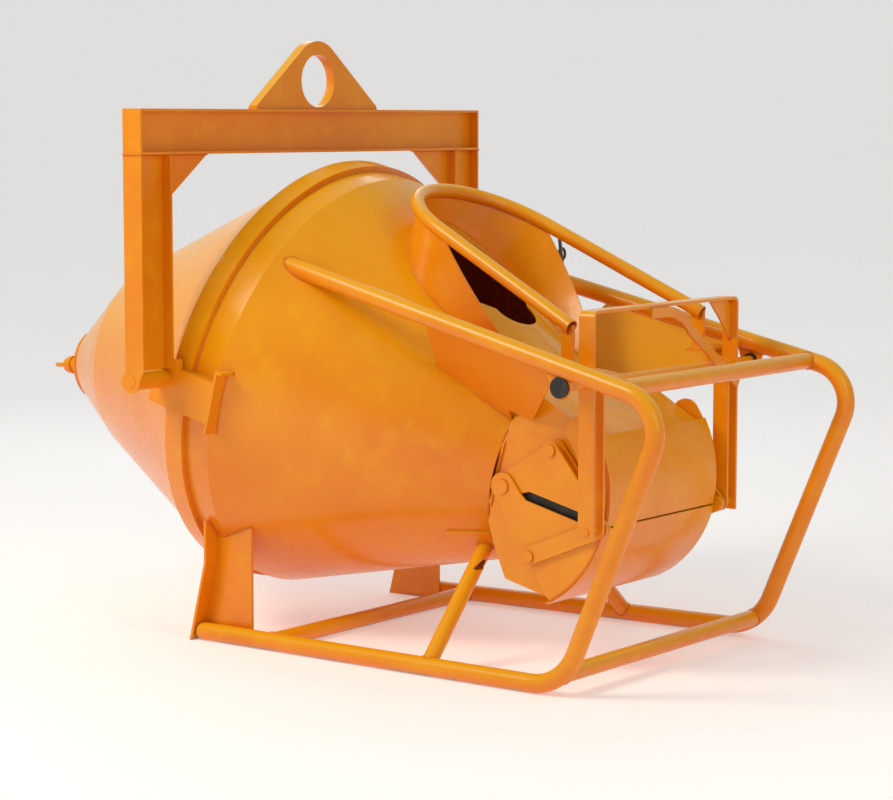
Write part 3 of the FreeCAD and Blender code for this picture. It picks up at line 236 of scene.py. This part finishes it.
BASE = (0.890, 0.310, 0.002)
DEEP = (0.800, 0.190, 0.001)
PALE = (0.920, 0.450, 0.002)
PAINT_SHEET = paint_material("enamel_on_sheet", BASE, DEEP, PALE, 0.22, 0.22)
PAINT_SECTION = paint_material("enamel_on_section", BASE, DEEP, PALE, 0.05, 0.28)
PAINT_WELD = paint_material("enamel_on_weld", DEEP, (0.62, 0.11, 0.001), BASE, 0.05, 0.33)
POLYMER = polymer_material()
STEEL = steel_material()

SHEET_NODES = ("rear_shell", "front_shell", "inlet_collar", "neck", "upper_jaw_plate",
               "lower_jaw_plate", "drum_belt")


def dress_nodes():
    """Give every CAD node its finish."""
    for name, node in NODES.items():
        if name == "lever_bushes":
            finish = POLYMER
        elif name == "rim_stay":
            finish = STEEL
        elif name in SHEET_NODES:
            finish = PAINT_SHEET
        else:
            finish = PAINT_SECTION
        node.data.materials.clear()
        node.data.materials.append(finish)


# ---------------------------------------------------------------- weld beads

def merged(node):
    """Copy of a node's mesh with its split vertices joined."""
    mesh = bmesh.new()
    mesh.from_mesh(node.data)
    bmesh.ops.remove_doubles(mesh, verts=mesh.verts, dist=MERGE)
    mesh.edges.ensure_lookup_table()
    return mesh


def tree_of(node):
    mesh = merged(node)
    tree = BVHTree.FromBMesh(mesh)
    mesh.free()
    return tree


def touching_edges(node, other_tree):
    """Sharp edges of a node that lie on another node's surface."""
    mesh = merged(node)
    found = []
    for edge in mesh.edges:
        if len(edge.link_faces) != 2 or edge.calc_face_angle(0.0) < SHARP:
            continue
        ends = [v.co.copy() for v in edge.verts]
        samples = ends + [(ends[0] + ends[1]) / 2]
        near = [other_tree.find_nearest(point, TOUCH * 2) for point in samples]
        if all(hit[0] is not None and hit[3] < TOUCH for hit in near):
            found.append(ends)
    mesh.free()
    return found


def chains(edges):
    """Join loose edges end to end into lines."""
    def key(point):
        return tuple(round(value * KEY_STEPS) for value in point)

    links = {}
    for index, (first, last) in enumerate(edges):
        links.setdefault(key(first), []).append((index, last))
        links.setdefault(key(last), []).append((index, first))
    used = set()
    lines = []
    starts = sorted(links, key=lambda spot: (len(links[spot]) == 2, spot))
    for start in starts:
        for index, point in links[start]:
            if index in used:
                continue
            first = edges[index][0] if key(edges[index][0]) == start else edges[index][1]
            line = [first]
            step = (index, point)
            while step:
                used.add(step[0])
                line.append(step[1])
                ahead = [item for item in links[key(step[1])] if item[0] not in used]
                step = ahead[0] if len(ahead) == 1 else None
            lines.append(line)
    return lines


def resampled(line, step):
    """Points at even distances along a line."""
    total = sum((b - a).length for a, b in zip(line, line[1:]))
    count = max(2, int(total / step))
    wanted = [total * i / count for i in range(count + 1)]
    points = []
    walked = 0.0
    index = 0
    for distance in wanted:
        while index < len(line) - 2 and walked + (line[index + 1] - line[index]).length < distance:
            walked += (line[index + 1] - line[index]).length
            index += 1
        run = (line[index + 1] - line[index]).length or 1e-9
        points.append(line[index].lerp(line[index + 1], min(1.0, (distance - walked) / run)))
    return points, total


def bead(mesh, line, radius):
    """Rippled weld bead along a line, added to a bmesh."""
    points, total = resampled(line, BEAD_STEP)
    if total < SHORTEST_BEAD:
        return
    closed = (line[0] - line[-1]).length < 1e-4
    lowest = CAD_BOX[0].z + radius * BEAD_LIFT
    for point in points:
        point.z = max(point.z, lowest)
    rings = []
    for index, point in enumerate(points):
        ahead = points[min(index + 1, len(points) - 1)]
        behind = points[max(index - 1, 0)]
        along = (ahead - behind).normalized()
        side = along.cross(WELD_UP)
        side = side.normalized() if side.length > 1e-6 else along.orthogonal().normalized()
        over = side.cross(along).normalized()
        swell = radius * (1.0 + BEAD_RIPPLE * (index % 2)
                          + random.uniform(-BEAD_UNEVEN, BEAD_UNEVEN))
        if not closed and index in (0, len(points) - 1):
            swell *= BEAD_END
        ring = []
        for corner in range(BEAD_SIDES):
            angle = 2 * math.pi * corner / BEAD_SIDES
            ring.append(mesh.verts.new(point + (side * math.cos(angle) + over * math.sin(angle))
                                       * swell))
        rings.append(ring)
    for first, last in zip(rings, rings[1:]):
        for corner in range(BEAD_SIDES):
            following = (corner + 1) % BEAD_SIDES
            mesh.faces.new((first[corner], first[following], last[following], last[corner]))
    for ring, flip in ((rings[0], True), (rings[-1], False)):
        mesh.faces.new(list(reversed(ring)) if flip else ring)


def add_piece(name, mesh, material, body, smooth=True):
    """Turn a bmesh into a piece that rides on a CAD body."""
    bmesh.ops.recalc_face_normals(mesh, faces=mesh.faces)
    data = bpy.data.meshes.new(name)
    mesh.to_mesh(data)
    mesh.free()
    for face in data.polygons:
        face.use_smooth = smooth
    data.materials.append(material)
    piece = bpy.data.objects.new(name, data)
    bpy.context.scene.collection.objects.link(piece)
    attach(piece, body)
    return piece


WELDS = (
    ("rear_end_plate", ("rear_shell",)), ("rear_boss", ("rear_end_plate",)),
    ("drum_belt", ("front_shell", "rear_shell")), ("neck_flange", ("front_shell",)),
    ("neck", ("neck_flange",)), ("gate_pins", ("neck",)),
    ("inlet_collar", ("front_shell",)), ("front_shell", ("neck_flange",)),
    ("rim_post_left", ("inlet_rim", "rim_ledge_left")),
    ("rim_post_right", ("inlet_rim", "rim_ledge_right")),
    ("rim_ledge_left", ("rail_plate_left", "side_hoop_left")),
    ("rim_ledge_right", ("rail_plate_right", "side_hoop_right")),
    ("side_hoop_left", ("front_shell", "rear_shell")),
    ("side_hoop_right", ("front_shell", "rear_shell")),
    ("top_cross_tube", ("side_hoop_left", "side_hoop_right")),
    ("rear_cross_tube", ("side_hoop_left", "side_hoop_right")),
    ("front_cross_tube", ("side_hoop_left", "side_hoop_right")),
    ("rear_leg_left", ("side_hoop_left", "drum_belt", "front_shell")),
    ("rear_leg_right", ("side_hoop_right", "drum_belt", "front_shell")),
    ("strut_pad_left", ("front_shell",)), ("strut_pad_right", ("front_shell",)),
    ("strut_left", ("strut_pad_left", "side_hoop_left")),
    ("strut_right", ("strut_pad_right", "side_hoop_right")),
    ("rail_plate_left", ("front_shell", "side_hoop_left")),
    ("rail_plate_right", ("front_shell", "side_hoop_right")),
    ("trunnion_bracket_left", ("drum_belt", "front_shell", "rear_shell")),
    ("trunnion_bracket_right", ("drum_belt", "front_shell", "rear_shell")),
    ("lever_hanger_left", ("side_hoop_left",)), ("lever_hanger_right", ("side_hoop_right",)),
    ("upper_cheek_left", ("upper_jaw_plate",)), ("upper_cheek_right", ("upper_jaw_plate",)),
    ("lower_cheek_left", ("lower_jaw_plate",)), ("lower_cheek_right", ("lower_jaw_plate",)),
    ("upper_link_pins", ("upper_cheek_left", "upper_cheek_right")),
    ("lower_link_pins", ("lower_cheek_left", "lower_cheek_right")),
    ("lever_corner_plate", ("lever_arch",)), ("lever_brace", ("lever_arch",)),
    ("bail_leg_left", ("bail_beam",)), ("bail_leg_right", ("bail_beam",)),
    ("bail_gusset_left", ("bail_beam", "bail_leg_left")),
    ("bail_gusset_right", ("bail_beam", "bail_leg_right")),
    ("lifting_eye", ("bail_beam",)),
)


def add_welds():
    """Beads where the fabricated pieces meet, one object for each body."""
    meshes = {}
    trees = {}
    for name, others in WELDS:
        mesh = meshes.setdefault(BODY_OF[name], bmesh.new())
        for other in others:
            if other not in trees:
                trees[other] = tree_of(NODES[other])
            for line in chains(touching_edges(NODES[name], trees[other])):
                bead(mesh, line, BEAD_RADIUS)
    for body, mesh in meshes.items():
        add_piece("welds_" + body, mesh, PAINT_WELD, body)


def slab(mesh, middle, along, half):
    """Straight block added to a bmesh, its first axis along a direction in the XZ plane."""
    across = Vector((-along.z, 0.0, along.x))
    corners = {}
    for i in (-1, 1):
        for j in (-1, 1):
            for k in (-1, 1):
                spot = middle + along * (i * half[0]) + Vector((0, j * half[1], 0))
                corners[i, j, k] = mesh.verts.new(spot + across * (k * half[2]))
    for axis in range(3):
        for sign in (-1, 1):
            ring = [(-1, -1), (1, -1), (1, 1), (-1, 1)]
            mesh.faces.new([corners[tuple(pair[:axis]) + (sign,) + tuple(pair[axis:])]
                            for pair in ring])


def joint_spot(name):
    """Position of a joint's pivot at rest."""
    found = [joint for joint in frame["joints"] if joint["name"] == name]
    return Vector(found[0]["pos_m"])


def add_slot_shade_strips():
    """Black strips of painted shade on the neck's side walls, seen through the slot between the cheeks and
    darkening it.
    """
    pivot = joint_spot("lower_jaw_open")
    along = (joint_spot("upper_link_swing") - pivot).normalized()
    inner = min(corner[1] for corner in NODES["upper_cheek_left"].bound_box)
    for side, sign in (("right", -1), ("left", 1)):
        mesh = bmesh.new()
        middle = pivot + along * SLOT_SHADE_MIDDLE
        middle.y = sign * (inner - SLOT_SHADE_GAP)
        # Thin black slab of painted shade just inside each cheek.
        slab(mesh, middle, along, (SLOT_SHADE_LENGTH / 2, SLOT_SHADE_THICK / 2, SLOT_SHADE_WIDTH / 2))
        add_piece("gate_slot_shade_" + side, mesh, POLYMER, "skid", False)


# ---------------------------------------------------------------- studio

# Soft boxes: name, place, size, power and colour. All face the middle of the skip.
LIGHT_TARGET = Vector((0.0, 0.0, 0.7))
LIGHTS = (
    ("key", (-1.6, -3.8, 4.4), (2.2, 1.8), 150.0, (1.0, 0.93, 0.78)),
    ("side", (4.6, -1.6, 2.4), (1.4, 2.6), 36.0, (1.0, 0.88, 0.72)),
    ("back", (-3.5, 3.5, 3.5), (2.5, 2.0), 22.0, (1.0, 0.96, 0.90)),
)

CAMERA_AT = (4.5361, -5.8446, 1.4207)
CAMERA_DIP = math.radians(6.02)
CAMERA_LENS = 106.4


def place_light(name, at, size, energy, colour):
    data = bpy.data.lights.new(name, "AREA")
    data.shape = "RECTANGLE"
    data.size = size[0]
    data.size_y = size[1]
    data.energy = energy
    data.color = colour
    light = bpy.data.objects.new(name, data)
    light.location = at
    light.rotation_euler = (LIGHT_TARGET - Vector(at)).to_track_quat("-Z", "Y").to_euler()
    bpy.context.scene.collection.objects.link(light)


def studio():
    """Pale floor swept up into a backdrop, soft boxes and an even surround."""
    material, tree, shader = new_material("studio_floor")
    coords = tree.nodes.new("ShaderNodeTexCoord").outputs["Object"]
    tone = ramp(tree, noise(tree, coords, 0.7, 2.0), 0.3, 0.7, 0.0, 1.0)
    colour = mix(tree, tone, (0.88, 0.88, 0.88), (0.90, 0.90, 0.90))
    tree.links.new(colour, shader.inputs["Base Color"])
    shader.inputs["Roughness"].default_value = 0.8
    shader.inputs["Emission Color"].default_value = (1.0, 1.0, 1.0, 1.0)
    shader.inputs["Emission Strength"].default_value = FLOOR_GLOW
    mesh = bmesh.new()
    low = CAD_BOX[0].z - FLOOR_DROP
    profile = [(-STAGE_FRONT, low), (STAGE_BACK, low)]
    for step in range(1, BEND_STEPS + 1):
        angle = math.radians(90.0) * step / BEND_STEPS
        profile.append((STAGE_BACK + STAGE_BEND * math.sin(angle),
                        low + STAGE_BEND * (1.0 - math.cos(angle))))
    profile.append((STAGE_BACK + STAGE_BEND, low + STAGE_FRONT))
    turn = Matrix.Rotation(VIEW_TURN, 3, "Z")
    rows = [[mesh.verts.new(turn @ Vector((side, reach, height))) for reach, height in profile]
            for side in (-STAGE_FRONT, STAGE_FRONT)]
    for index in range(len(profile) - 1):
        mesh.faces.new((rows[0][index], rows[1][index], rows[1][index + 1], rows[0][index + 1]))
    data = bpy.data.meshes.new("studio_floor")
    mesh.to_mesh(data)
    mesh.free()
    for face in data.polygons:
        face.use_smooth = True
    data.materials.append(material)
    floor = bpy.data.objects.new("studio_floor", data)
    bpy.context.scene.collection.objects.link(floor)
    world = bpy.data.worlds.new("surround")
    world.use_nodes = True
    world.node_tree.nodes["Background"].inputs["Color"].default_value = (1.0, 1.0, 1.0, 1.0)
    world.node_tree.nodes["Background"].inputs["Strength"].default_value = SURROUND
    bpy.context.scene.world = world
    for light in LIGHTS:
        place_light(*light)


def place_camera():
    """Camera at the three-quarter front view, a little above the middle of the skip."""
    data = bpy.data.cameras.new("camera")
    data.lens = CAMERA_LENS
    data.sensor_width = 36.0
    data.clip_end = 200.0
    camera = bpy.data.objects.new("camera", data)
    camera.location = CAMERA_AT
    camera.rotation_euler = (math.radians(90.0) - CAMERA_DIP, 0.0, VIEW_TURN)
    bpy.context.scene.collection.objects.link(camera)
    bpy.context.scene.camera = camera
    bpy.context.scene.view_settings.view_transform = "Standard"


dress_nodes()
add_welds()
add_slot_shade_strips()
studio()
place_camera()
